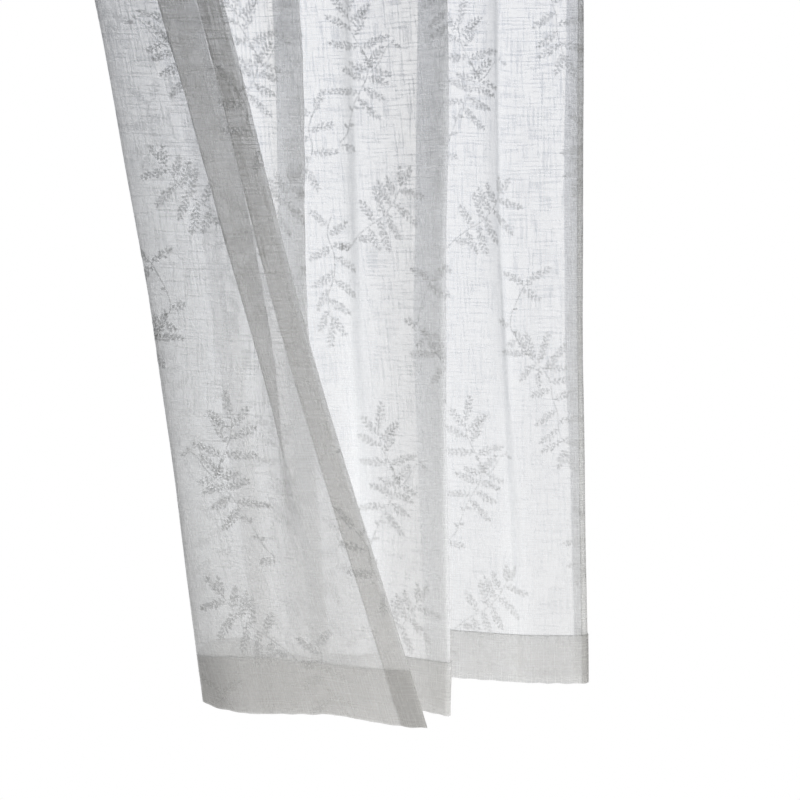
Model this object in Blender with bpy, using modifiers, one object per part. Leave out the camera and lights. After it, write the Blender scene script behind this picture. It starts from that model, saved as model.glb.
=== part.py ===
"""Sheer voile curtain, one cloth with turned hems, in the shape in which it hangs.

Metres, +Z up, -Y towards the viewer, +X to the viewer's right. The origin is the middle of the
top edge. The cloth starts at its free side edge, which is turned over to the front as a flap,
runs left behind itself round the left fold, and then right across the body to the far edge.
"""

import math

import bmesh
import bpy

# Driving sizes
CLOTH_LENGTH = 2.50
CLOTH_THICKNESS = 0.0012
HEM_THICKNESS = 0.0028
BOTTOM_HEM = 0.082
SIDE_HEM = 0.038
TOP_HEM = 0.040
HEM_STEP = 0.003  # the hem's ledge is worked out over this distance

# Drops below the top edge at which the fold table gives each fold's place
LEVELS = (0.00, 0.15, 0.40, 0.80, 1.40, 1.95, 2.50)

# One row for each fold, in order along the cloth's width.
# across: x at each level. depth: y at each level. soft: how much of the two runs beside the fold
# its bend takes, from 0, sharp, to 1, a plain wave. drop: how far the hem hangs there.
FOLDS = (
    # name, across, depth, soft, drop
    ("free_edge",
     (-0.490, -0.430, -0.365, -0.245, -0.067, 0.072, 0.239),
     (-0.030, -0.085, -0.095, -0.125, -0.170, -0.210, -0.250), 0.0, 2.476),
    ("flap_fold_front",
     (-0.475, -0.452, -0.425, -0.330, -0.167, -0.014, 0.145),
     (-0.036, -0.073, -0.105, -0.138, -0.180, -0.205, -0.235), 0.3, 2.475),
    ("flap_fold_back",
     (-0.460, -0.452, -0.390, -0.275, -0.101, 0.020, 0.030),
     (-0.036, -0.055, -0.078, -0.105, -0.150, -0.180, -0.222), 0.3, 2.474),
    ("left_fold_front",
     (-0.445, -0.463, -0.440, -0.378, -0.258, -0.160, -0.093),
     (-0.025, -0.035, -0.060, -0.088, -0.125, -0.168, -0.196), 0.6, 2.464),
    ("left_fold_back",
     (-0.425, -0.452, -0.430, -0.372, -0.255, -0.158, -0.090),
     (0.005, -0.005, -0.028, -0.052, -0.085, -0.120, -0.130), 0.4, 2.470),
    ("hidden_back_1",
     (-0.375, -0.370, -0.350, -0.300, -0.165, -0.085, -0.015),
     (0.051, 0.046, 0.030, 0.005, -0.030, -0.035, -0.035), 0.7, 2.485),
    ("hidden_front",
     (-0.300, -0.300, -0.280, -0.225, -0.105, -0.055, -0.010),
     (-0.051, -0.046, -0.050, -0.050, -0.082, -0.116, -0.126), 0.7, 2.490),
    ("hidden_back_2",
     (-0.225, -0.220, -0.190, -0.130, -0.050, -0.028, 0.020),
     (0.051, 0.046, 0.035, 0.000, -0.058, -0.066, -0.075), 0.7, 2.495),
    ("narrow_fold_front",
     (-0.150, -0.130, -0.090, -0.015, 0.056, 0.069, 0.105),
     (-0.051, -0.046, -0.050, -0.070, -0.090, -0.106, -0.120), 0.35, 2.500),
    ("narrow_fold_back",
     (-0.075, -0.068, -0.060, -0.044, -0.003, 0.016, 0.062),
     (0.051, 0.046, 0.030, -0.005, -0.040, -0.048, -0.052), 0.35, 2.500),
    ("left_crease_front",
     (0.000, 0.005, 0.020, 0.055, 0.108, 0.120, 0.140),
     (-0.051, -0.046, -0.045, -0.040, -0.052, -0.074, -0.086), 0.6, 2.500),
    ("left_crease_back",
     (0.070, 0.072, 0.080, 0.097, 0.130, 0.148, 0.170),
     (0.051, 0.046, 0.035, 0.000, -0.030, -0.048, -0.060), 0.6, 2.500),
    ("main_ridge",
     (0.140, 0.152, 0.180, 0.232, 0.273, 0.272, 0.281),
     (-0.051, -0.048, -0.055, -0.070, -0.095, -0.108, -0.123), 0.16, 2.501),
    ("main_ridge_back",
     (0.210, 0.210, 0.212, 0.218, 0.224, 0.216, 0.240),
     (0.051, 0.050, 0.055, 0.060, 0.068, 0.074, 0.082), 0.3, 2.496),
    ("right_crease_front",
     (0.280, 0.290, 0.310, 0.328, 0.344, 0.362, 0.390),
     (-0.051, -0.036, -0.010, 0.025, 0.048, 0.055, 0.066), 0.6, 2.503),
    ("right_crease_back",
     (0.350, 0.352, 0.356, 0.360, 0.359, 0.378, 0.412),
     (0.051, 0.050, 0.055, 0.060, 0.066, 0.074, 0.082), 0.6, 2.509),
    ("right_fold",
     (0.450, 0.470, 0.488, 0.498, 0.500, 0.506, 0.519),
     (-0.040, -0.025, 0.000, 0.030, 0.054, 0.060, 0.066), 0.5, 2.506),
    ("far_edge",
     (0.490, 0.483, 0.476, 0.474, 0.477, 0.487, 0.503),
     (0.000, 0.010, 0.026, 0.054, 0.076, 0.084, 0.092), 0.0, 2.494),
)

# Cells of the solid between one fold and the next, as shares of the run between them
RUN_SHARES = (0.16, 0.50, 0.84)
BODY_ROWS = 27
LEAST_CELL = 0.001
STEPS_IN_A_RUN = 16  # points worked out along each run before the cells are laid on it

VOILE_COLOUR = (0.86, 0.87, 0.88, 1.0)
VOILE_ROUGHNESS = 0.9


def smooth_value(values, drop):
    """A fold's value at any drop, on a smooth line through its values at LEVELS."""
    last = len(LEVELS) - 2
    k = min(sum(drop >= level for level in LEVELS[1:]), last)

    def slope(i):
        low, high = max(i - 1, 0), min(i + 1, len(LEVELS) - 1)
        return (values[high] - values[low]) / (LEVELS[high] - LEVELS[low])

    span = LEVELS[k + 1] - LEVELS[k]
    t = (drop - LEVELS[k]) / span
    start = (1 + 2 * t) * (1 - t) ** 2 * values[k] + t * (1 - t) ** 2 * span * slope(k)
    end = t * t * (3 - 2 * t) * values[k + 1] + t * t * (t - 1) * span * slope(k + 1)
    return start + end


def fold_corners(drop):
    """The folds' corners at a drop, as (x, y, hang), where hang scales the drop itself."""
    return [
        (smooth_value(across, drop), smooth_value(depth, drop), hang / CLOTH_LENGTH)
        for _, across, depth, _, hang in FOLDS
    ]


def between(a, b, share):
    return tuple(p + (q - p) * share for p, q in zip(a, b))


def section_at(position, corners):
    """A point of the cloth's section. position counts folds, so 2.5 is midway from fold 2 to 3."""
    k = min(int(position), len(corners) - 2)
    share = position - k
    near = k if share < 0.5 else k + 1
    bend = FOLDS[near][3] / 2
    away = abs(position - near)
    if away >= bend or near in (0, len(corners) - 1):
        return between(corners[k], corners[k + 1], share)
    entry = between(corners[near], corners[near - 1], bend)
    leave = between(corners[near], corners[near + 1], bend)
    turn = (position - near + bend) / (2 * bend)
    return between(
        between(entry, corners[near], turn), between(corners[near], leave, turn), turn
    )


def section_points(drop):
    """The cloth's section at a drop, with each point's distance from the free edge along it."""
    corners = fold_corners(drop)
    count = STEPS_IN_A_RUN * (len(corners) - 1)
    points = [section_at(i / STEPS_IN_A_RUN, corners) for i in range(count + 1)]
    along = [0.0]
    for a, b in zip(points, points[1:]):
        along.append(along[-1] + math.hypot(b[0] - a[0], b[1] - a[1]))
    return points, along


def point_along(points, along, distance):
    """The section's point at a distance from the free edge."""
    k = 0
    while k < len(along) - 2 and along[k + 1] < distance:
        k += 1
    return between(points[k], points[k + 1], (distance - along[k]) / (along[k + 1] - along[k]))


def column_distances(along):
    """Where the solid's columns lie: on each fold, between folds, and at both side hems."""
    width = along[-1]
    folds = along[::STEPS_IN_A_RUN]
    distances = list(folds)
    for start, end in zip(folds, folds[1:]):
        distances += [start + (end - start) * share for share in RUN_SHARES]
    distances += [SIDE_HEM, SIDE_HEM + HEM_STEP, width - SIDE_HEM - HEM_STEP, width - SIDE_HEM]
    distances.sort()
    for i in range(1, len(distances)):
        distances[i] = max(distances[i], distances[i - 1] + LEAST_CELL)
    return distances


def row_drops():
    """Drops of the solid's rows, with a close pair at each hem's sewn line."""
    body_top = TOP_HEM + HEM_STEP
    body_end = CLOTH_LENGTH - BOTTOM_HEM - HEM_STEP
    body = [body_top + (body_end - body_top) * i / BODY_ROWS for i in range(BODY_ROWS + 1)]
    hem_top = CLOTH_LENGTH - BOTTOM_HEM
    return [0.0, TOP_HEM] + body + [hem_top, (hem_top + CLOTH_LENGTH) / 2, CLOTH_LENGTH]


def in_hem(drop, distance, width):
    """True where the cloth is turned over on itself and so is thicker."""
    at_end = drop <= TOP_HEM or drop >= CLOTH_LENGTH - BOTTOM_HEM
    side = SIDE_HEM + HEM_STEP / 2
    return at_end or distance <= side or distance >= width - side


def curtain_mesh():
    """The cloth's middle surface, and the numbers of the points that lie in its hems."""
    mesh = bmesh.new()
    rows = []
    hem_points = []
    for drop in row_drops():
        points, along = section_points(drop)
        row = []
        for distance in column_distances(along):
            x, y, hang = point_along(points, along, distance)
            if in_hem(drop, distance, along[-1]):
                hem_points.append(len(mesh.verts))
            row.append(mesh.verts.new((x, y, -drop * hang)))
        rows.append(row)
    for upper, lower in zip(rows, rows[1:]):
        for i in range(len(upper) - 1):
            mesh.faces.new((upper[i], lower[i], lower[i + 1], upper[i + 1]))
    data = bpy.data.meshes.new("curtain_panel")
    mesh.to_mesh(data)
    mesh.free()
    return data, hem_points


def voile_material():
    material = bpy.data.materials.new("voile")
    material.use_nodes = True
    shader = material.node_tree.nodes["Principled BSDF"]
    shader.inputs["Base Color"].default_value = VOILE_COLOUR
    shader.inputs["Roughness"].default_value = VOILE_ROUGHNESS
    shader.inputs["Metallic"].default_value = 0.0
    return material


def curtain_panel(collection):
    """The one cloth: a sheet with a body thickness, and its hems thicker by their turns."""
    data, hem_points = curtain_mesh()
    panel = bpy.data.objects.new("curtain_panel", data)
    collection.objects.link(panel)
    hems = panel.vertex_groups.new(name="hems")
    hems.add(hem_points, 1.0, "REPLACE")
    sheet = panel.modifiers.new("cloth thickness", "SOLIDIFY")
    sheet.thickness = HEM_THICKNESS
    sheet.offset = 0.0
    sheet.vertex_group = "hems"
    sheet.thickness_vertex_group = CLOTH_THICKNESS / HEM_THICKNESS
    data.materials.append(voile_material())
    return panel


def main():
    for old in list(bpy.data.objects):
        bpy.data.objects.remove(old, do_unlink=True)
    collection = bpy.data.collections.new("voile_curtain")
    bpy.context.scene.collection.children.link(collection)
    curtain_panel(collection)


main()
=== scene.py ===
"""Sheer voile curtain: its looks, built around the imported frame.

Metres, +Z up, -Y towards the viewer. The cloth is one thin sheet laid on the solid's folds. Its
hems are turned from the same sheet, so that they show as three layers of it.
"""

import math

import bpy
import numpy as np
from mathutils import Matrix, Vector


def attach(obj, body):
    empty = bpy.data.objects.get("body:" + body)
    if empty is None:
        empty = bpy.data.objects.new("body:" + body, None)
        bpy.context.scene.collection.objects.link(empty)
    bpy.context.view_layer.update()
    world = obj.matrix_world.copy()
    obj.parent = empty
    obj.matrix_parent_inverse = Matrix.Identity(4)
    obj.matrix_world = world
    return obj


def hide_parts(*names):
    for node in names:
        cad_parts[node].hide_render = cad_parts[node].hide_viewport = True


# Sizes of the finished curtain
CLOTH_WIDTH = 1.45
CLOTH_LENGTH = 2.50
BOTTOM_HEM = 0.082
SIDE_HEM = 0.038
TOP_HEM = 0.040

# How deep the raw edge is tucked inside each hem. Where a tuck stops short of the hem's own fold,
# a paler line of two layers is left along it.
FREE_SIDE_TUCK = 0.032
FAR_SIDE_TUCK = 0.022
BOTTOM_TUCK = 0.080
TOP_TUCK = 0.038

# Threads crowd together on the pressed line where a hem's raw edge is turned in. In the free
# edge's hem they do so by only SIDE_PRESSING of it, and in the far edge's not at all.
PRESSED_WIDTH = 0.0012
PRESSED_CROWDING = 2.0
SIDE_PRESSING = 0.25

# They crowd too where the cloth turns away from the room. The full effect comes where it is
# 1 + FULL_SLANT times as wide as it looks. It fades out again where the cloth is turned nearly
# edge on, between these shares of facing.
FULL_SLANT = 0.45
NEARLY_EDGE_ON = (0.25, 0.60)
LEAST_FACING = 0.01

# Near the far edge FAR_SLANT_LOST of that effect is lost, between these distances from it, and
# the layers of its turned hem crowd less by FAR_HEM_SLACK
FAR_SLANT_LOST = 0.9
FAR_SLANT_REACH = (0.075, 0.045)
FAR_HEM_SLACK = 0.8

# Threads also settle a little closer towards the hem, between these drops
SETTLED_DROPS = (1.30, 2.40)

# How far a hem's tucked and outer layers lie off the body of the cloth
SIDE_LIFTS = (0.00025, 0.00050)
END_LIFTS = (0.0010, 0.0022)

# The folds, as in the part: places at these drops below the top edge
LEVELS = (0.00, 0.15, 0.40, 0.80, 1.40, 1.95, 2.50)
FOLDS = (
    # name, across, depth, how much of a run its bend takes up, drop of its foot
    ("free_edge",
     (-0.490, -0.430, -0.365, -0.245, -0.067, 0.072, 0.239),
     (-0.030, -0.085, -0.095, -0.125, -0.170, -0.210, -0.250), 0.0, 2.476),
    ("flap_fold_front",
     (-0.475, -0.452, -0.425, -0.330, -0.167, -0.014, 0.145),
     (-0.036, -0.073, -0.105, -0.138, -0.180, -0.205, -0.235), 0.3, 2.475),
    ("flap_fold_back",
     (-0.460, -0.452, -0.390, -0.275, -0.101, 0.020, 0.030),
     (-0.036, -0.055, -0.078, -0.105, -0.150, -0.180, -0.222), 0.3, 2.474),
    ("left_fold_front",
     (-0.445, -0.463, -0.440, -0.378, -0.258, -0.160, -0.093),
     (-0.025, -0.035, -0.060, -0.088, -0.125, -0.168, -0.196), 0.6, 2.464),
    ("left_fold_back",
     (-0.425, -0.452, -0.430, -0.372, -0.255, -0.158, -0.090),
     (0.005, -0.005, -0.028, -0.052, -0.085, -0.120, -0.130), 0.4, 2.470),
    ("hidden_back_1",
     (-0.375, -0.370, -0.350, -0.300, -0.165, -0.085, -0.015),
     (0.051, 0.046, 0.030, 0.005, -0.030, -0.035, -0.035), 0.7, 2.485),
    ("hidden_front",
     (-0.300, -0.300, -0.280, -0.225, -0.105, -0.055, -0.010),
     (-0.051, -0.046, -0.050, -0.050, -0.082, -0.116, -0.126), 0.7, 2.490),
    ("hidden_back_2",
     (-0.225, -0.220, -0.190, -0.130, -0.050, -0.028, 0.020),
     (0.051, 0.046, 0.035, 0.000, -0.058, -0.066, -0.075), 0.7, 2.495),
    ("narrow_fold_front",
     (-0.150, -0.130, -0.090, -0.015, 0.056, 0.069, 0.105),
     (-0.051, -0.046, -0.050, -0.070, -0.090, -0.106, -0.120), 0.35, 2.500),
    ("narrow_fold_back",
     (-0.075, -0.068, -0.060, -0.044, -0.003, 0.016, 0.062),
     (0.051, 0.046, 0.030, -0.005, -0.040, -0.048, -0.052), 0.35, 2.500),
    ("left_crease_front",
     (0.000, 0.005, 0.020, 0.055, 0.108, 0.120, 0.140),
     (-0.051, -0.046, -0.045, -0.040, -0.052, -0.074, -0.086), 0.6, 2.500),
    ("left_crease_back",
     (0.070, 0.072, 0.080, 0.097, 0.130, 0.148, 0.170),
     (0.051, 0.046, 0.035, 0.000, -0.030, -0.048, -0.060), 0.6, 2.500),
    ("main_ridge",
     (0.140, 0.152, 0.180, 0.232, 0.273, 0.272, 0.281),
     (-0.051, -0.048, -0.055, -0.070, -0.095, -0.108, -0.123), 0.16, 2.501),
    ("main_ridge_back",
     (0.210, 0.210, 0.212, 0.218, 0.224, 0.216, 0.240),
     (0.051, 0.050, 0.055, 0.060, 0.068, 0.074, 0.082), 0.3, 2.496),
    ("right_crease_front",
     (0.280, 0.290, 0.310, 0.328, 0.344, 0.362, 0.390),
     (-0.051, -0.036, -0.010, 0.025, 0.048, 0.055, 0.066), 0.6, 2.503),
    ("right_crease_back",
     (0.350, 0.352, 0.356, 0.360, 0.359, 0.378, 0.412),
     (0.051, 0.050, 0.055, 0.060, 0.066, 0.074, 0.082), 0.6, 2.509),
    ("right_fold",
     (0.450, 0.470, 0.488, 0.498, 0.500, 0.506, 0.519),
     (-0.040, -0.025, 0.000, 0.030, 0.054, 0.060, 0.066), 0.5, 2.506),
    ("far_edge",
     (0.490, 0.483, 0.476, 0.474, 0.477, 0.487, 0.503),
     (0.000, 0.010, 0.026, 0.054, 0.076, 0.084, 0.092), 0.0, 2.494),
)
STEPS_IN_A_RUN = 24

# How much further the far edge has slipped in behind the body than the solid's, at these drops,
# and how far in from the edge that is felt
SLACK_DROPS = (1.40, 1.70, 2.00, 2.15, 2.50)
FAR_EDGE_SLACK = (0.009, 0.015, 0.015, 0.011, 0.009)
FAR_EDGE_REACH = 0.034

# How the hem is drawn up off the plain line of its folds, and how far above the sewn line that
# begins
HEM_DRAWN_REACH = 0.25
HEM_LINE = (
    # place across the cloth, shift to the right of the bottom edge, rises of the sewn line and of
    # the bottom edge
    (0.000, 0.0, 0.0000, -0.0010),
    (0.030, 0.0, 0.0000, -0.0015),
    (0.075, 0.0, 0.0015, 0.0020),
    (0.135, 0.0, 0.0050, 0.0108),
    (0.205, 0.0, 0.0073, 0.0088),
    (0.256, 0.0, 0.0025, 0.0013),
    (0.293, 0.0, -0.0020, 0.0018),
    (0.330, 0.0, -0.0050, 0.0067),
    (0.400, 0.0, 0.0080, 0.0080),
    (0.550, 0.0, 0.0000, 0.0000),
    (0.930, 0.0, 0.0000, 0.0000),
    (0.975, -0.004, 0.0000, -0.0010),
    (1.020, 0.0, 0.0000, 0.0000),
    (1.450, 0.0, 0.0000, 0.0000),
)

# Soft creases, where threads crowd and painted shade darkens their colour. Each has its places across
# the cloth and its depths, both at CREASE_DROPS, and its reach to the left and to the right.
CREASE_DROPS = (0.00, 1.40, 1.75, 1.95, 2.20, 2.50)
CREASES = (
    ((0.835, 0.835, 0.822, 0.820, 0.820, 0.820), (0.0, 0.9, 1.0, 0.7, 0.4, 0.0), 0.014, 0.016),
    ((1.280, 1.280, 1.282, 1.292, 1.308, 1.320), (0.0, 1.3, 1.2, 1.0, 0.5, 0.0), 0.020, 0.004),
    ((0.305, 0.305, 0.298, 0.285, 0.278, 0.300), (0.0, 0.6, 0.6, 0.6, 0.6, 0.6), 0.032, 0.020),
)
# Painted shade on the free edge's turned layers, as deep as this at CREASE_DROPS, darkest near the
# top
FREE_HEM_SHADES = (0.6, 1.0, 0.3, 0.0, 0.0, 0.0)

# The bottom edge's small ripple, which swells and dies away along it
RIPPLE_DEPTH = 0.0007
RIPPLE_LENGTH = 0.031
SWELL_LENGTH = 0.27
SWELL_PHASE = 1.0

# Broad buckles of slack cloth: their depth, their lengths across and down it, the distance across
# in which they slope by one length, and how far they sway to the side, as a share of their length
# across, in each SWAY_LENGTH of drop
BUCKLE_DEPTH = 0.0016
BUCKLE_ACROSS = 0.23
BUCKLE_DOWN = 0.61
BUCKLE_SLOPE = 0.90
BUCKLE_SWAY = 0.30
SWAY_LENGTH = 1.30

# The cloth is worked out on a lattice of this pitch, and everything on it is read from that.
# A place on its last line is read from LATTICE_MARGIN of a cell before it.
LATTICE_U = 0.0025
LATTICE_V = 0.0100
LATTICE_MARGIN = 0.000001

# Cells of the cloth's mesh
BODY_COLUMNS = 330
BODY_ROWS = 212
HEM_COLUMNS = 5
BOTTOM_HEM_ROWS = 7
TOP_HEM_ROWS = 4

# Camera at the photograph's viewing angle. It looks down a little, so that the horizon lies
# HORIZON_PIXELS above the picture's middle.
CAMERA_PLACE = (0.20, -2.12, -1.86)
FRAME_PIXELS = 800
FOCAL_PIXELS = 1341.5
HORIZON_PIXELS = 106
CAMERA_PITCH = math.atan(HORIZON_PIXELS / FOCAL_PIXELS)
SENSOR_WIDTH = 36.0

# How often light may pass through open cloth, and how often it may bounce
CLEAR_BOUNCES = 64
LIGHT_BOUNCES = 8

FLOOR_HEIGHT = -2.58
FLOOR_SIZE = 60.0

# How strongly the floor lights the cloth from below, near FLOOR_LIGHT_MIDDLE and away from it.
# In the picture the floor and the backdrop are both white.
FLOOR_LIGHT = (0.86, 0.0)
FLOOR_LIGHT_REACH = (0.4, 2.0)
FLOOR_LIGHT_MIDDLE = (0.55, -0.45, FLOOR_HEIGHT)
WHITE = (1.0, 1.0, 1.0)
DARK = (0.01, 0.01, 0.01)

# Soft lights. Those behind the cloth are the stronger ones, and shine through it.
SOFT_LIGHTS = (
    # name, place, aim, size, watts, colour
    ("back_top", (0.30, 1.00, -1.10), (0.20, 0.0, -1.70), 1.4, 15.6, (0.81, 0.86, 1.0)),
    ("back_left", (-0.60, 0.80, -2.20), (0.10, 0.0, -2.10), 0.9, 13.9, (0.91, 0.95, 1.0)),
    ("front_right", (0.95, -0.85, -2.45), (0.25, 0.0, -2.12), 0.9, 6.2, (1.0, 1.0, 1.0)),
    ("front_far", (0.90, -1.90, -2.20), (0.20, 0.0, -2.20), 0.9, 5.2, (1.0, 1.0, 1.0)),
    ("front_left", (-0.60, -1.30, -2.30), (0.20, 0.0, -2.10), 0.9, 1.2, (1.0, 1.0, 1.0)),
    ("front_low", (0.10, -0.90, -2.50), (0.20, 0.0, -2.30), 0.9, 0.5, (1.0, 1.0, 1.0)),
)

# The woven leaf pattern repeats down the cloth at this length, with the middle of one repeat
# SHOWN_REPEAT below the top and REPEATS_ABOVE more above it. It repeats across the cloth at these
# places, the third and the fourth closer together than the others. Shapes that come within
# PATTERN_MARGIN of an edge are left out.
PATTERN_LENGTH = 0.635
SHOWN_REPEAT = 1.845
REPEATS_ABOVE = 3
PATTERN_ROWS = 6
PATTERN_COLUMNS = (-0.097, 0.283, 0.663, 0.943, 1.323, 1.703)
PATTERN_LIFT = -0.0003
PATTERN_MARGIN = 0.0005
PATTERN_SEED = 5

# Branches of the pattern, in millimetres to the right of and above the middle of its repeat.
# stem: points along it. sprigs: share of the stem's length, heading in degrees from the right
# and anticlockwise, and length. A sprig shorter than SINGLE_LEAF is one leaf.
SINGLE_LEAF = 13.0
BRANCHES = (
    ("crossed_tip",
     ((4, 4), (-7, -18), (-17, -42), (-19, -62), (-8, -84), (10, -108)),
     ((0.00, 139, 34), (0.00, 44, 46), (0.03, -40, 28), (0.33, 12, 9), (0.56, 168, 19),
      (0.64, -30, 10), (0.77, 205, 15), (0.86, 40, 11))),
    ("open_hand",
     ((10, -108), (20, -120), (32, -130)),
     ((0.00, 168, 42), (0.10, 128, 46), (0.35, 96, 40), (0.70, 66, 50), (1.00, 38, 50),
      (0.60, 212, 34), (1.00, 4, 34), (0.85, -104, 28))),
    ("trail",
     ((32, -130), (44, -152), (47, -178), (55, -204), (57, -232), (66, -262)),
     ((0.18, 6, 26), (0.28, 196, 30), (0.42, 22, 38), (0.52, 212, 36), (0.66, 8, 38),
      (0.74, 226, 34), (0.88, -24, 40), (0.92, 214, 34), (1.00, -62, 36), (1.00, -108, 30))),
    ("plume_foot",
     ((-132, 214), (-120, 228), (-112, 250), (-103, 274), (-92, 294)),
     ((0.00, -32, 22), (0.28, 138, 11), (0.36, 10, 11), (0.60, 116, 10), (0.70, -14, 11),
      (0.90, -58, 44), (0.96, 172, 44))),
    ("plume",
     ((-92, 294), (-80, 316), (-78, 340), (-88, 362), (-99, 384), (-104, 410)),
     ((0.05, -42, 34), (0.12, 148, 36), (0.20, -18, 30), (0.28, 160, 26), (0.30, 58, 34),
      (0.47, 128, 12), (0.56, 26, 42), (0.60, 186, 46), (0.74, 62, 40), (0.80, 154, 40),
      (0.90, 40, 38), (0.95, 132, 34), (1.00, 78, 40))),
    ("curl",
     ((-74, 322), (-60, 334), (-49, 352), (-40, 362), (-33, 360)),
     ((0.98, -20, 12), (0.94, 60, 8), (0.06, 120, 16), (0.12, -30, 22))),
    ("spray",
     ((-132, 50), (-112, 72), (-92, 88), (-70, 102), (-50, 124), (-36, 150)),
     ((0.00, 140, 16), (0.10, 200, 14), (0.22, -12, 15), (0.40, -70, 34), (0.46, 112, 34),
      (0.56, -82, 46), (0.60, 106, 40), (0.68, -74, 40), (0.74, 112, 38), (0.80, -40, 46),
      (0.86, 118, 30), (0.93, -14, 38), (0.98, 88, 26), (1.00, 50, 26))),
    ("hanging",
     ((-152, 104), (-160, 76), (-152, 46), (-154, 12), (-166, -20), (-162, -56)),
     ((0.10, 146, 30), (0.18, 20, 30), (0.30, 206, 36), (0.38, -26, 34), (0.50, 222, 38),
      (0.58, -38, 38), (0.70, 228, 34), (0.78, -44, 36), (0.90, 236, 32), (0.96, -58, 32),
      (1.00, -96, 34))),
    ("far_sprigs",
     ((112, 262), (102, 236), (106, 206), (96, 178)),
     ((0.00, 66, 30), (0.10, 142, 30), (0.35, 20, 34), (0.45, 198, 36), (0.70, -10, 34),
      (0.78, 214, 34), (1.00, -70, 34), (1.00, -118, 30))),
)

# Stems and twigs narrow to STEM_END of their width
STEM_WIDTH = 0.0022
STEM_END = 0.55
STEM_STEP = 0.004
TWIG_WIDTH = 0.6 * STEM_WIDTH

LEAFLET_PITCH = 0.0064
LEAFLET_LENGTH = 0.0110
LEAFLET_WIDTH = 0.0056
FEWEST_PAIRS = 3

# A leaflet's outline, as shares of its length along it and of its width to its side
LEAFLET_OUTLINE = ((0.0, 0.0), (0.30, 0.46), (0.72, 0.42), (1.0, 0.0), (0.72, -0.42), (0.30, -0.46))

# How far a sprig bends either way and how far its leaflets lean, in degrees, and how their lengths
# and widths vary, as shares
SPRIG_BEND = 22
LEAFLET_LEANS = (34, 60)
LEAFLET_LENGTHS = (0.80, 1.15)
LEAFLET_WIDTHS = (0.85, 1.20)

# Leaflets start at FIRST_LEAFLET of full size, are full grown at GROWN_BY of the sprig, and have
# lost TIP_LOSS of it at the tip. The leaflet at the tip has its own length and width, as shares.
FIRST_LEAFLET = 0.72
GROWN_BY = 1 / 3
TIP_LOSS = 0.40
TIP_LEAFLET = (0.75, 0.7)

# Colours of the threads
VOILE_COLOUR = (0.885, 0.879, 0.863)
LEAF_COLOUR = (0.74, 0.74, 0.732)
SEWING_COLOUR = (0.66, 0.67, 0.67)

# How much of the cloth its threads cover: the even ground, what slubs add, less of it where threads
# crowd up to SLUBS_LEAST_AT, what thicker and thinner places add or take, and what crowding adds
GROUND_COVER = (0.35, 0.45)
SLUB_COVER = 0.40
CROWDED_SLUB_COVER = 0.15
SLUBS_LEAST_AT = 1.2
CLOUD_COVER = 0.03
CROWDED_COVER = 0.18

# Painted shade: how much darker the threads' colour is made in a crease of depth 1 or more
CREASED_SHADE = 0.20

# Cover of the leaves, on their floats and in their flecks. In the bottom hem they keep only
# LEAF_SHOWN_IN_HEM of it, which changes over HEM_BLUR on each side of the sewn line.
LEAF_COVER = (0.84, 0.05)
LEAF_SHOWN_IN_HEM = 0.25
HEM_BLUR = 0.002

# The weave's noises, as features to the metre across and down the cut cloth, and the part of each
# one's values that is used
WARP_SLUBS = (310.0, 18.0)
WEFT_SLUBS = (18.0, 350.0)
SLUB_VALUES = (0.51, 0.66)
GRAIN = (620.0, 620.0)
GRAIN_VALUES = (0.25, 0.75)
CLOUD = (40.0, 28.0)
CLOUD_VALUES = (0.3, 0.7)
FLECKS = (300.0, 300.0)
FLECK_DETAIL = 1.5
FLECK_VALUES = (0.48, 0.67)
NOISE_DETAIL = 2.0
NOISE_ROUGHNESS = 0.6

# How high the threads stand off the cloth, how they shine, and how much of the light that they
# catch passes through them
VOILE_BUMP = 0.0002
LEAF_BUMP = 0.0005
BUMP_STRENGTH = 0.5
VOILE_GLOSS = 0.02
LEAF_GLOSS = 0.06
SHINE_ROUGHNESS = 0.42
SEWING_ROUGHNESS = 0.45
LET_THROUGH = 0.5

# Sewing. A stitch's crest stands off the cloth, and its ends lie lower by STITCH_HEIGHT.
STITCH_PITCH = 0.0034
STITCH_LENGTH = 0.0026
STITCH_WIDTH = 0.0004
STITCH_INSET = 0.0015
STITCH_CREST = 0.0006
STITCH_HEIGHT = 0.0003


def smooth_step(value, low, high):
    """Rises smoothly from 0 at low to 1 at high."""
    t = np.clip((value - low) / (high - low), 0.0, 1.0)
    return t * t * (3 - 2 * t)


def smooth_value(values, drop):
    """A fold's value at any drop, on a smooth line through its values at LEVELS."""
    last = len(LEVELS) - 2
    k = min(sum(drop >= level for level in LEVELS[1:]), last)

    def slope(i):
        low, high = max(i - 1, 0), min(i + 1, len(LEVELS) - 1)
        return (values[high] - values[low]) / (LEVELS[high] - LEVELS[low])

    span = LEVELS[k + 1] - LEVELS[k]
    t = (drop - LEVELS[k]) / span
    start = (1 + 2 * t) * (1 - t) ** 2 * values[k] + t * (1 - t) ** 2 * span * slope(k)
    end = t * t * (3 - 2 * t) * values[k + 1] + t * t * (t - 1) * span * slope(k + 1)
    return start + end


def section_at(position, corners):
    """A point of the cloth's section. position counts folds, so 2.5 is midway from fold 2 to 3."""
    k = min(int(position), len(corners) - 2)
    share = position - k
    near = k if share < 0.5 else k + 1
    bend = FOLDS[near][3] / 2
    if abs(position - near) >= bend or near in (0, len(corners) - 1):
        return corners[k] + (corners[k + 1] - corners[k]) * share
    entry = corners[near] + (corners[near - 1] - corners[near]) * bend
    leave = corners[near] + (corners[near + 1] - corners[near]) * bend
    turn = (position - near + bend) / (2 * bend)
    first = entry + (corners[near] - entry) * turn
    second = corners[near] + (leave - corners[near]) * turn
    return first + (second - first) * turn


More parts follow.
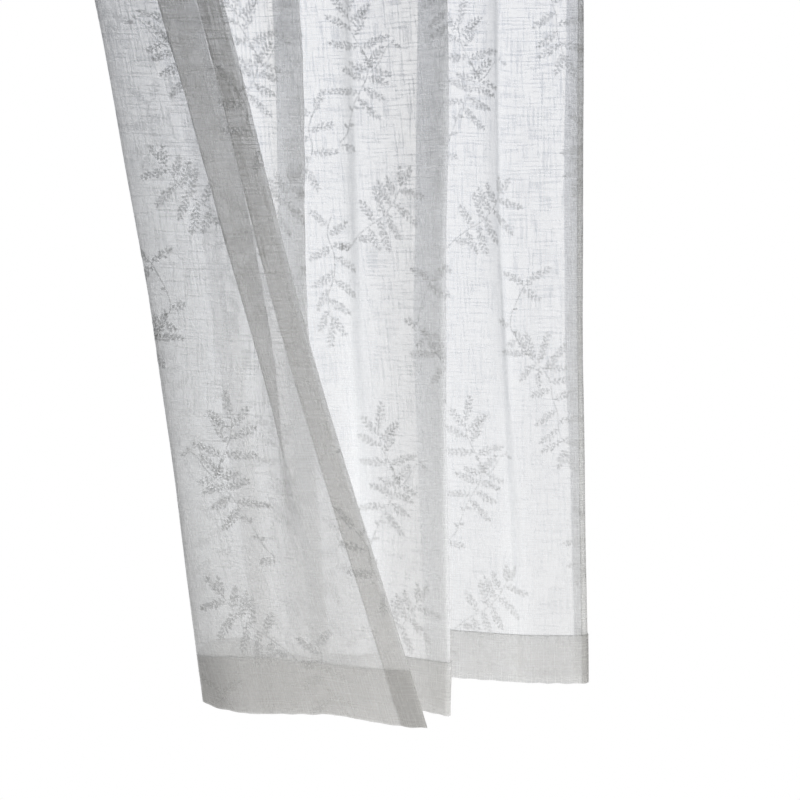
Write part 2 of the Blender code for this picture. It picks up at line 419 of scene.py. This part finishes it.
def section_row(drop, across):
    """The cloth's points at a drop, for finished distances across it from the free edge."""
    corners = [
        np.array((smooth_value(xs, drop), smooth_value(ys, drop), hang / CLOTH_LENGTH))
        for _, xs, ys, _, hang in FOLDS
    ]
    count = STEPS_IN_A_RUN * (len(FOLDS) - 1)
    points = np.array([section_at(i / STEPS_IN_A_RUN, corners) for i in range(count + 1)])
    steps = np.hypot(*np.diff(points[:, :2], axis=0).T)
    along = np.concatenate(([0.0], np.cumsum(steps)))
    width = along[-1]
    # The side hems keep their width, and the body between them takes up the rest
    distance = np.interp(
        across,
        (0.0, SIDE_HEM, CLOTH_WIDTH - SIDE_HEM, CLOTH_WIDTH),
        (0.0, SIDE_HEM, width - SIDE_HEM, width),
    )
    x, y, hang = (np.interp(distance, along, points[:, i]) for i in range(3))
    return np.stack((x, y, -drop * hang), axis=1)


def reverse_normals(places):
    """Unit normals on the cloth's reverse side, from its lattice of points."""
    down, across = np.gradient(places, axis=(0, 1))
    normals = np.cross(down, across)
    return normals / np.linalg.norm(normals, axis=2, keepdims=True)


class Hanging:
    """The hung cloth's surface, read at any finished place across and down it."""

    def __init__(self):
        self.across = np.linspace(0.0, CLOTH_WIDTH, round(CLOTH_WIDTH / LATTICE_U) + 1)
        self.down = np.linspace(0.0, CLOTH_LENGTH, round(CLOTH_LENGTH / LATTICE_V) + 1)
        places = np.array([section_row(drop, self.across) for drop in self.down])
        normals = reverse_normals(places)
        u, v = self.across[None, :], self.down[:, None]
        places = places + normals * unevenness(u, v)[..., None]
        slack = np.interp(v, SLACK_DROPS, FAR_EDGE_SLACK)
        places[..., 0] -= slack * smooth_step(u, CLOTH_WIDTH - FAR_EDGE_REACH, CLOTH_WIDTH)
        sewn_line = CLOTH_LENGTH - BOTTOM_HEM
        near = smooth_step(v, sewn_line - HEM_DRAWN_REACH, sewn_line)
        low = smooth_step(v, sewn_line, CLOTH_LENGTH)
        shift, sewn_rise, edge_rise = (
            np.interp(u, [row[0] for row in HEM_LINE], [row[i] for row in HEM_LINE])
            for i in (1, 2, 3)
        )
        places[..., 0] += shift * near * low
        drawn = near * (sewn_rise + (edge_rise - sewn_rise) * low)
        places[..., 2] += drawn + hem_ripple(u) * low
        self.places = places
        self.normals = reverse_normals(places)

    def at(self, u, v, lift=0.0):
        """Points at distances u across and v down the cloth, lifted off it on its reverse."""
        u, v, lift = np.broadcast_arrays(u, v, lift)
        last_column = len(self.across) - 1 - LATTICE_MARGIN
        last_row = len(self.down) - 1 - LATTICE_MARGIN
        column = np.clip(u / (self.across[1] - self.across[0]), 0, last_column)
        row = np.clip(v / (self.down[1] - self.down[0]), 0, last_row)
        i, j = column.astype(int), row.astype(int)
        a, b = (column - i)[..., None], (row - j)[..., None]

        def read(lattice):
            upper = lattice[j, i] * (1 - a) + lattice[j, i + 1] * a
            lower = lattice[j + 1, i] * (1 - a) + lattice[j + 1, i + 1] * a
            return upper * (1 - b) + lower * b

        return read(self.places) + read(self.normals) * lift[..., None]

    def slant(self, u, v):
        """How much threads crowd because the cloth is turned away from the room, from 0 to 1."""
        ahead = self.at(u, v, 1.0) - self.at(u, v)
        facing = np.abs(ahead[..., 1]) / np.linalg.norm(ahead, axis=-1)
        turned = np.clip((1 / np.maximum(facing, LEAST_FACING) - 1) / FULL_SLANT, 0.0, 1.0)
        start, full = (CLOTH_WIDTH - reach for reach in FAR_SLANT_REACH)
        kept = 1.0 - FAR_SLANT_LOST * smooth_step(u, start, full)
        return turned * smooth_step(facing, *NEARLY_EDGE_ON) * kept


def creasing(u, v):
    """How deep the soft creases are at places across and down the cloth, for the painted shade in
    them and the cover they add.
    """
    total = np.zeros(np.broadcast(u, v).shape)
    for middles, depths, left, right in CREASES:
        away = u - np.interp(v, CREASE_DROPS, middles)
        reach = np.where(away < 0, left, right)
        total += np.interp(v, CREASE_DROPS, depths) * np.exp(-((away / reach) ** 2))
    return total


def hem_ripple(u):
    """How far the bottom edge is drawn up and let down by its sewing."""
    swell = np.sin(2 * math.pi * u / SWELL_LENGTH + SWELL_PHASE)
    return RIPPLE_DEPTH * np.sin(2 * math.pi * u / RIPPLE_LENGTH) * swell


def unevenness(u, v):
    """How far the cloth stands off its folds' plain form: broad slack buckles."""
    sway = BUCKLE_SWAY * np.sin(2 * math.pi * v / SWAY_LENGTH)
    across = np.sin(2 * math.pi * (u / BUCKLE_ACROSS + sway))
    down = np.sin(2 * math.pi * (v / BUCKLE_DOWN + u / BUCKLE_SLOPE))
    return BUCKLE_DEPTH * across * down


def new_object(name, data):
    """An object that holds a mesh, a light or a camera, placed in the scene."""
    thing = bpy.data.objects.new(name, data)
    bpy.context.scene.collection.objects.link(thing)
    return thing


def grid_object(name, places, uvs):
    """A mesh of quads from a grid of points, with each point's place on the cut cloth as its UV."""
    rows, columns = places.shape[:2]
    index = np.arange(rows * columns).reshape(rows, columns)
    quads = np.stack(
        (index[:-1, :-1], index[1:, :-1], index[1:, 1:], index[:-1, 1:]), axis=-1
    ).reshape(-1, 4)
    mesh = bpy.data.meshes.new(name)
    mesh.from_pydata(places.reshape(-1, 3).tolist(), [], quads.tolist())
    layer = mesh.uv_layers.new(name="cut_cloth")
    layer.data.foreach_set("uv", uvs.reshape(-1, 2)[quads.reshape(-1)].reshape(-1))
    mesh.shade_smooth()
    return new_object(name, mesh)


def turned_hem(depth, tuck, lifts, cells):
    """A hem turned twice, as (place from the edge, lift, place on the cut cloth) from its raw end."""
    tucked = np.linspace(depth - tuck, depth - PRESSED_WIDTH, cells)
    outer = np.linspace(depth - PRESSED_WIDTH, PRESSED_WIDTH / 2, cells)
    middle = (lifts[0] + lifts[1]) / 2
    return (
        [(d, lifts[0], -(2 * depth - d)) for d in tucked]
        + [(depth, middle, -depth)]
        + [(d, lifts[1], -d) for d in outer]
    )


def across_the_cut():
    """The cloth's columns from raw end to raw end, as (u, lift, cut place)."""
    free = turned_hem(SIDE_HEM, FREE_SIDE_TUCK, SIDE_LIFTS, HEM_COLUMNS)
    far = turned_hem(SIDE_HEM, FAR_SIDE_TUCK, SIDE_LIFTS, HEM_COLUMNS)
    under_hem = np.linspace(PRESSED_WIDTH, SIDE_HEM, HEM_COLUMNS, endpoint=False)
    under_hem = np.concatenate(([0.0], under_hem))
    body = np.linspace(SIDE_HEM, CLOTH_WIDTH - SIDE_HEM, BODY_COLUMNS + 1)
    single = np.concatenate((under_hem, body, CLOTH_WIDTH - under_hem[::-1]))
    far = [(CLOTH_WIDTH - u, lift, CLOTH_WIDTH - cut) for u, lift, cut in far[::-1]]
    return free + [(u, 0.0, u) for u in single] + far


def down_the_cut():
    """The cloth's rows from raw end to raw end, as (v, lift, cut place, side of the side hems)."""
    top = turned_hem(TOP_HEM, TOP_TUCK, END_LIFTS, TOP_HEM_ROWS)
    bottom = turned_hem(BOTTOM_HEM, BOTTOM_TUCK, END_LIFTS, BOTTOM_HEM_ROWS)
    body = np.linspace(PRESSED_WIDTH, CLOTH_LENGTH - PRESSED_WIDTH, BODY_ROWS)
    rows = top + [(v, 0.0, v) for v in (0.0, *body, CLOTH_LENGTH)]
    rows += [(CLOTH_LENGTH - v, lift, CLOTH_LENGTH - cut) for v, lift, cut in bottom[::-1]]
    return [(v, lift, cut, -1.0 if lift == END_LIFTS[1] else 1.0) for v, lift, cut in rows]


def curtain_cloth(hanging):
    """The one cut length of voile with all its hems turned, hung in its folds."""
    u, column_lift, cut_u = (np.array(values) for values in zip(*across_the_cut()))
    v, row_lift, cut_v, side = (np.array(values) for values in zip(*down_the_cut()))
    lift = row_lift[:, None] + side[:, None] * column_lift[None, :]
    places = hanging.at(u[None, :], v[:, None], lift)
    uvs = np.stack(np.broadcast_arrays(cut_u[None, :], -cut_v[:, None]), axis=-1)
    cloth = grid_object("voile_panel", places, uvs)
    slant = hanging.slant(u[None, :], v[:, None])
    # Crease depths: they darken the threads' colour as painted shade, and add to their cover
    painted_shade_depth = creasing(u[None, :], v[:, None])
    # Painted shade on the free edge's turned layers, darkest near the top
    turned = (cut_u < 0)[None, :] * np.interp(v, CREASE_DROPS, FREE_HEM_SHADES)[:, None]
    slackened = FAR_HEM_SLACK * (cut_u > CLOTH_WIDTH)[None, :]
    side_fold = SIDE_PRESSING * pressed_fold(cut_u, -SIDE_HEM)
    bottom_fold = pressed_fold(cut_v, CLOTH_LENGTH + BOTTOM_HEM)
    end_folds = np.maximum(bottom_fold, pressed_fold(cut_v, -TOP_HEM))
    pressed = np.maximum(side_fold[None, :], end_folds[:, None])
    settled = smooth_step(v[:, None], *SETTLED_DROPS)
    write_values(cloth, "crowding", np.maximum(slant, pressed) + painted_shade_depth + settled - slackened)
    write_values(cloth, "painted_shade_depth", painted_shade_depth + turned)
    return cloth


def write_values(thing, name, values):
    """A value for each point of a mesh, for its material to read."""
    attribute = thing.data.attributes.new(name, "FLOAT", "POINT")
    attribute.data.foreach_set("value", values.reshape(-1))


def pressed_fold(cut, line):
    """How closely threads crowd at each place on the cut cloth, where it is pressed along a line."""
    return PRESSED_CROWDING * (np.abs(cut - line) < PRESSED_WIDTH / 4)


def smooth_line(points, step):
    """Points every step or so along a smooth line through the given ones."""
    points = np.array(points, float)
    padded = np.vstack((2 * points[0] - points[1], points, 2 * points[-1] - points[-2]))
    line = []
    for before, start, end, after in zip(padded, padded[1:], padded[2:], padded[3:]):
        cells = max(2, int(np.linalg.norm(end - start) / step))
        for t in np.arange(cells) / cells:
            line.append(
                0.5 * (2 * start + (end - before) * t
                       + (2 * before - 5 * start + 4 * end - after) * t ** 2
                       + (3 * start - before - 3 * end + after) * t ** 3)
            )
    line.append(points[-1])
    return np.array(line)


def ribbon(line, width):
    """Quads along a line in the flat cloth, narrower towards its end."""
    ahead = np.gradient(line, axis=0)
    side = np.stack((-ahead[:, 1], ahead[:, 0]), axis=1)
    side /= np.linalg.norm(side, axis=1, keepdims=True)
    half = width / 2 * np.linspace(1.0, STEM_END, len(line))[:, None]
    left, right = line + side * half, line - side * half
    return [np.array((left[i], right[i], right[i + 1], left[i + 1])) for i in range(len(line) - 1)]


def leaflet(base, heading, length, width):
    """A small pointed oval leaf, as an outline of six points."""
    ahead = np.array((math.cos(heading), math.sin(heading)))
    side = np.array((-ahead[1], ahead[0]))
    return np.array([base + ahead * length * a + side * width * b for a, b in LEAFLET_OUTLINE])


def sprig(base, heading, length, chance):
    """A side twig with pairs of leaflets along it, smaller towards its tip, and one at its tip."""
    if length < SINGLE_LEAF / 1000:
        return [leaflet(base, heading, length, length / 2)]
    bend = math.radians(chance.uniform(-SPRIG_BEND, SPRIG_BEND))
    pieces = []
    spine = [base]
    count = max(FEWEST_PAIRS, round(length / LEAFLET_PITCH))
    for i in range(count):
        share = i / count
        turned = heading + bend * share
        step = np.array((math.cos(turned), math.sin(turned))) * length / count
        here = spine[-1] + step
        spine.append(here)
        grown = FIRST_LEAFLET + (1 - FIRST_LEAFLET) * min(1.0, share / GROWN_BY)
        size = (1.0 - TIP_LOSS * share) * grown
        for hand, root in ((1, here), (-1, here - step / 2)):
            lean = turned + hand * math.radians(chance.uniform(*LEAFLET_LEANS))
            leaf_length = LEAFLET_LENGTH * size * chance.uniform(*LEAFLET_LENGTHS)
            leaf_width = LEAFLET_WIDTH * size * chance.uniform(*LEAFLET_WIDTHS)
            pieces.append(leaflet(root, lean, leaf_length, leaf_width))
    tip_length, tip_width = TIP_LEAFLET
    tip = (LEAFLET_LENGTH * tip_length, LEAFLET_WIDTH * tip_width)
    pieces.append(leaflet(spine[-1], heading + bend, *tip))
    return pieces + ribbon(np.array(spine), TWIG_WIDTH)


def one_repeat(chance):
    """The flat shapes of one repeat of the pattern, in metres right of and above its middle."""
    shapes = []
    for _, stem, sprigs in BRANCHES:
        line = smooth_line(np.array(stem) / 1000, STEM_STEP)
        shapes += ribbon(line, STEM_WIDTH)
        for share, heading, length in sprigs:
            base = line[round(share * (len(line) - 1))]
            shapes += sprig(base, math.radians(heading), length / 1000, chance)
    return shapes


def surface_object(name, outlines, hanging, lift):
    """Flat outlines on the finished cloth, laid on its hung surface as one mesh.

    Each point is told how deep the painted crease shade is there, and whether it lies in the bottom
    hem.
    """
    corners = np.concatenate(outlines)
    places = hanging.at(corners[:, 0], corners[:, 1], lift)
    faces = []
    first = 0
    for outline in outlines:
        faces.append(tuple(range(first, first + len(outline))))
        first += len(outline)
    mesh = bpy.data.meshes.new(name)
    mesh.from_pydata(places.tolist(), [], faces)
    layer = mesh.uv_layers.new(name="cut_cloth")
    flat = np.stack((corners[:, 0], -corners[:, 1]), axis=1)
    layer.data.foreach_set("uv", flat[np.concatenate(faces)].reshape(-1))
    mesh.shade_smooth()
    thing = new_object(name, mesh)
    # Painted shade of the creases darkens the leaves' colour too
    write_values(thing, "painted_shade_depth", creasing(corners[:, 0], corners[:, 1]))
    sewn_line = CLOTH_LENGTH - BOTTOM_HEM
    in_hem = smooth_step(corners[:, 1], sewn_line - HEM_BLUR, sewn_line + HEM_BLUR)
    write_values(thing, "in_hem", in_hem)
    return thing


def leaf_pattern(hanging):
    """The woven branches, repeated over the whole cloth."""
    shapes = one_repeat(np.random.default_rng(PATTERN_SEED))
    last_u, last_v = CLOTH_WIDTH - PATTERN_MARGIN, CLOTH_LENGTH - PATTERN_MARGIN
    outlines = []
    for column in PATTERN_COLUMNS:
        for row in range(PATTERN_ROWS):
            middle = SHOWN_REPEAT + (row - REPEATS_ABOVE) * PATTERN_LENGTH
            for shape in shapes:
                outline = np.stack((column + shape[:, 0], middle - shape[:, 1]), axis=1)
                low, high = outline.min(axis=0), outline.max(axis=0)
                if low.min() > PATTERN_MARGIN and high[0] < last_u and high[1] < last_v:
                    outlines.append(outline)
    return surface_object("leaf_pattern", outlines, hanging, PATTERN_LIFT)


def stitch_rows():
    """The sewn lines of the hems, each as its two ends on the finished cloth."""
    left, right = SIDE_HEM - STITCH_INSET, CLOTH_WIDTH - SIDE_HEM + STITCH_INSET
    top, bottom = TOP_HEM - STITCH_INSET, CLOTH_LENGTH - BOTTOM_HEM + STITCH_INSET
    return (
        ((left, top), (left, bottom)),
        ((right, top), (right, bottom)),
        ((0.0, top), (CLOTH_WIDTH, top)),
        ((0.0, bottom), (CLOTH_WIDTH, bottom)),
    )


def hem_stitches(hanging):
    """Short raised stitches along every hem, on both faces of the cloth."""
    lines = []
    for (u0, v0), (u1, v1) in stitch_rows():
        count = int(math.hypot(u1 - u0, v1 - v0) / STITCH_PITCH)
        across = np.array((v1 - v0, u1 - u0)) / math.hypot(u1 - u0, v1 - v0)
        for i in range(count):
            share = (i + 0.5) / count
            middle = np.array((u0 + (u1 - u0) * share, v0 + (v1 - v0) * share))
            ahead = np.array((across[1], across[0])) * STITCH_LENGTH / 2
            lines.append((middle - ahead, middle, middle + ahead, np.abs(across) * STITCH_WIDTH / 2))
    starts, middles, ends, sides = (np.array(values) for values in zip(*lines))
    points = []
    faces = []
    for crest_lift, side in ((-STITCH_CREST, -1), (END_LIFTS[1] + STITCH_CREST, 1)):
        low = crest_lift - side * STITCH_HEIGHT
        rows = (
            hanging.at(starts[:, 0], starts[:, 1], low),
            hanging.at(*(middles + sides).T, low),
            hanging.at(*(middles - sides).T, low),
            hanging.at(middles[:, 0], middles[:, 1], crest_lift),
            hanging.at(ends[:, 0], ends[:, 1], low),
        )
        for start, left, right, crest, end in zip(*rows):
            n = len(points)
            points += [start, left, right, crest, end]
            faces += [(n, n + 1, n + 3), (n, n + 3, n + 2)]
            faces += [(n + 3, n + 1, n + 4), (n + 2, n + 3, n + 4)]
            faces += [(n, n + 2, n + 4, n + 1)]
    mesh = bpy.data.meshes.new("hem_stitches")
    mesh.from_pydata([tuple(p) for p in points], [], faces)
    mesh.shade_smooth()
    return new_object("hem_stitches", mesh)


def new_material(name):
    material = bpy.data.materials.new(name)
    material.use_nodes = True
    material.node_tree.nodes.clear()
    return material, material.node_tree.nodes, material.node_tree.links


def show_surface(nodes, links, shader, output="ShaderNodeOutputMaterial"):
    """Makes a shader the surface of a material, or of the world."""
    links.new(shader, nodes.new(output).inputs["Surface"])


def stretched_noise(nodes, links, source, scale, detail=NOISE_DETAIL):
    """Noise over the cut cloth, with its own number of features to the metre across and down."""
    mapping = nodes.new("ShaderNodeMapping")
    mapping.inputs["Scale"].default_value = (scale[0], scale[1], 1.0)
    links.new(source, mapping.inputs["Vector"])
    noise = nodes.new("ShaderNodeTexNoise")
    noise.noise_dimensions = "2D"
    noise.inputs["Scale"].default_value = 1.0
    noise.inputs["Detail"].default_value = detail
    noise.inputs["Roughness"].default_value = NOISE_ROUGHNESS
    links.new(mapping.outputs["Vector"], noise.inputs["Vector"])
    return noise.outputs["Fac"]


def math_node(nodes, links, operation, first, second):
    node = nodes.new("ShaderNodeMath")
    node.operation = operation
    for socket, value in zip(node.inputs, (first, second)):
        if isinstance(value, (int, float)):
            socket.default_value = value
        else:
            links.new(value, socket)
    return node.outputs[0]


def point_value(nodes, name):
    node = nodes.new("ShaderNodeAttribute")
    node.attribute_name = name
    return node.outputs["Fac"]


def mix_shaders(nodes, links, share, first, second):
    """A mix of two shaders, where share 0 is the first and 1 is the second."""
    node = nodes.new("ShaderNodeMixShader")
    if isinstance(share, (int, float)):
        node.inputs["Fac"].default_value = share
    else:
        links.new(share, node.inputs["Fac"])
    links.new(first, node.inputs[1])
    links.new(second, node.inputs[2])
    return node.outputs[0]


def map_range(nodes, links, value, low, high, to_low, to_high):
    node = nodes.new("ShaderNodeMapRange")
    links.new(value, node.inputs["Value"])
    for name, number in zip(
        ("From Min", "From Max", "To Min", "To Max"), (low, high, to_low, to_high)
    ):
        node.inputs[name].default_value = number
    return node.outputs["Result"]


def see_through_cloth(name, colour, cover_of, bump_height, gloss):
    """Threads lit from both sides, which cover part of the cloth and let the rest be seen through.

    Their colour is darkened by painted shade in the creases and on the free edge's hem.
    """
    material, nodes, links = new_material(name)
    uv = nodes.new("ShaderNodeUVMap")
    uv.uv_map = "cut_cloth"
    cover = cover_of(nodes, links, uv.outputs["UV"])
    bump = nodes.new("ShaderNodeBump")
    bump.inputs["Strength"].default_value = BUMP_STRENGTH
    bump.inputs["Distance"].default_value = bump_height
    links.new(cover, bump.inputs["Height"])
    diffuse = nodes.new("ShaderNodeBsdfDiffuse")
    translucent = nodes.new("ShaderNodeBsdfTranslucent")
    shine = nodes.new("ShaderNodeBsdfGlossy")
    shine.inputs["Roughness"].default_value = SHINE_ROUGHNESS
    # Painted shade: the threads' colour is darkened by the shade depth that the mesh carries
    painted_shade_depth = point_value(nodes, "painted_shade_depth")
    shade = map_range(nodes, links, painted_shade_depth, 0.0, 1.0, 1.0, 1.0 - CREASED_SHADE)
    shaded = nodes.new("ShaderNodeVectorMath")
    shaded.operation = "SCALE"
    shaded.inputs[0].default_value = colour
    links.new(shade, shaded.inputs["Scale"])
    for shader in (diffuse, translucent, shine):
        links.new(shaded.outputs[0], shader.inputs["Color"])
        links.new(bump.outputs["Normal"], shader.inputs["Normal"])
    clear = nodes.new("ShaderNodeBsdfTransparent")
    threads = mix_shaders(nodes, links, LET_THROUGH, diffuse.outputs[0], translucent.outputs[0])
    threads = mix_shaders(nodes, links, gloss, threads, shine.outputs[0])
    cloth = mix_shaders(nodes, links, cover, clear.outputs[0], threads)
    show_surface(nodes, links, cloth)
    return material


def slubby_weave(nodes, links, uv):
    """Cover of an even ground of fine threads, with thicker slubs along some warps and wefts."""
    warp = stretched_noise(nodes, links, uv, WARP_SLUBS)
    weft = stretched_noise(nodes, links, uv, WEFT_SLUBS)
    warp_slubs = map_range(nodes, links, warp, *SLUB_VALUES, 0.0, 1.0)
    weft_slubs = map_range(nodes, links, weft, *SLUB_VALUES, 0.0, 1.0)
    both = math_node(nodes, links, "ADD", warp_slubs, weft_slubs)
    crowding = point_value(nodes, "crowding")
    depth = map_range(
        nodes, links, crowding, 0.0, SLUBS_LEAST_AT, SLUB_COVER, CROWDED_SLUB_COVER
    )
    slubs = math_node(nodes, links, "MULTIPLY", both, depth)
    grain = stretched_noise(nodes, links, uv, GRAIN, detail=0.0)
    ground = map_range(nodes, links, grain, *GRAIN_VALUES, *GROUND_COVER)
    cloud = stretched_noise(nodes, links, uv, CLOUD)
    cloudy = map_range(nodes, links, cloud, *CLOUD_VALUES, -CLOUD_COVER, CLOUD_COVER)
    crowded = math_node(nodes, links, "MULTIPLY", crowding, CROWDED_COVER)
    even = math_node(nodes, links, "ADD", ground, cloudy)
    uneven = math_node(nodes, links, "ADD", even, slubs)
    return math_node(nodes, links, "ADD", uneven, crowded)


def satin_flecks(nodes, links, uv):
    """Cover of the leaves' denser weave, with small bright flecks between its floats."""
    fleck = stretched_noise(nodes, links, uv, FLECKS, detail=FLECK_DETAIL)
    cover = map_range(nodes, links, fleck, *FLECK_VALUES, *LEAF_COVER)
    in_hem = point_value(nodes, "in_hem")
    shown = map_range(nodes, links, in_hem, 0.0, 1.0, 1.0, LEAF_SHOWN_IN_HEM)
    return math_node(nodes, links, "MULTIPLY", cover, shown)


def voile_material():
    return see_through_cloth("voile", VOILE_COLOUR, slubby_weave, VOILE_BUMP, VOILE_GLOSS)


def leaf_material():
    return see_through_cloth("woven_leaf", LEAF_COLOUR, satin_flecks, LEAF_BUMP, LEAF_GLOSS)


def thread_material():
    """White polyester sewing thread."""
    material, nodes, links = new_material("sewing_thread")
    shader = nodes.new("ShaderNodeBsdfPrincipled")
    shader.inputs["Base Color"].default_value = (*SEWING_COLOUR, 1.0)
    shader.inputs["Roughness"].default_value = SEWING_ROUGHNESS
    show_surface(nodes, links, shader.outputs[0])
    return material


def lay_floor():
    """A plain floor below the hem, white in the picture, which lights the cloth from a patch."""
    mesh = bpy.data.meshes.new("floor")
    half = FLOOR_SIZE / 2
    square = ((-half, -half), (half, -half), (half, half), (-half, half))
    corners = [(x, y, FLOOR_HEIGHT) for x, y in square]
    mesh.from_pydata(corners, [], [(0, 1, 2, 3)])
    floor = new_object("floor", mesh)
    material, nodes, links = new_material("pale_floor")
    place = nodes.new("ShaderNodeNewGeometry")
    reach = nodes.new("ShaderNodeVectorMath")
    reach.operation = "DISTANCE"
    links.new(place.outputs["Position"], reach.inputs[0])
    reach.inputs[1].default_value = FLOOR_LIGHT_MIDDLE
    lit = map_range(nodes, links, reach.outputs["Value"], *FLOOR_LIGHT_REACH, *FLOOR_LIGHT)
    glow = nodes.new("ShaderNodeEmission")
    links.new(lit, glow.inputs["Strength"])
    white = nodes.new("ShaderNodeEmission")
    path = nodes.new("ShaderNodeLightPath")
    seen = mix_shaders(
        nodes, links, path.outputs["Is Camera Ray"], glow.outputs[0], white.outputs[0]
    )
    show_surface(nodes, links, seen)
    mesh.materials.append(material)


def backdrop(nodes, colour):
    node = nodes.new("ShaderNodeBackground")
    node.inputs["Color"].default_value = (*colour, 1.0)
    return node.outputs[0]


def white_backdrop():
    """A backdrop that is white in the picture and sheds hardly any light on the cloth."""
    world = bpy.data.worlds.new("studio")
    bpy.context.scene.world = world
    world.use_nodes = True
    nodes, links = world.node_tree.nodes, world.node_tree.links
    nodes.clear()
    path = nodes.new("ShaderNodeLightPath")
    seen = mix_shaders(
        nodes, links, path.outputs["Is Camera Ray"],
        backdrop(nodes, DARK), backdrop(nodes, WHITE),
    )
    show_surface(nodes, links, seen, "ShaderNodeOutputWorld")


def soft_lights():
    """Soft lights, strong behind the cloth and weaker in front, which don't show themselves."""
    for name, place, aim, size, watts, colour in SOFT_LIGHTS:
        data = bpy.data.lights.new(name, "AREA")
        data.size = size
        data.energy = watts
        data.color = colour
        light = new_object(name, data)
        light.location = place
        light.rotation_euler = (Vector(aim) - light.location).to_track_quat("-Z", "Y").to_euler()
        light.visible_camera = False


def photo_camera():
    data = bpy.data.cameras.new("camera")
    data.sensor_width = SENSOR_WIDTH
    data.lens = SENSOR_WIDTH * FOCAL_PIXELS / FRAME_PIXELS
    camera = new_object("camera", data)
    camera.location = CAMERA_PLACE
    camera.rotation_euler = (math.pi / 2 - CAMERA_PITCH, 0.0, 0.0)
    bpy.context.scene.camera = camera


def picture_settings():
    scene = bpy.context.scene
    scene.view_settings.view_transform = "Standard"
    scene.cycles.transparent_max_bounces = CLEAR_BOUNCES
    scene.cycles.max_bounces = LIGHT_BOUNCES
    scene.cycles.use_denoising = True


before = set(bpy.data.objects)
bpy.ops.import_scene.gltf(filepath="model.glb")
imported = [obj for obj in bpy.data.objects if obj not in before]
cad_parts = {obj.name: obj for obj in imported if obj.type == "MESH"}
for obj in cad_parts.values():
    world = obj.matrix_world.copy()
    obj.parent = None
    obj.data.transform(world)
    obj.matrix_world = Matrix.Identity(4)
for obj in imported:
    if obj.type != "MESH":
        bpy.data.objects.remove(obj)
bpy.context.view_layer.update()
photo_camera()
white_backdrop()
soft_lights()
picture_settings()
lay_floor()

hanging = Hanging()
cloth = curtain_cloth(hanging)
cloth.data.materials.append(voile_material())
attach(cloth, "root")
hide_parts("curtain_panel")

leaves = leaf_pattern(hanging)
leaves.data.materials.append(leaf_material())
stitches = hem_stitches(hanging)
stitches.data.materials.append(thread_material())
for piece in (leaves, stitches):
    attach(piece, "root")
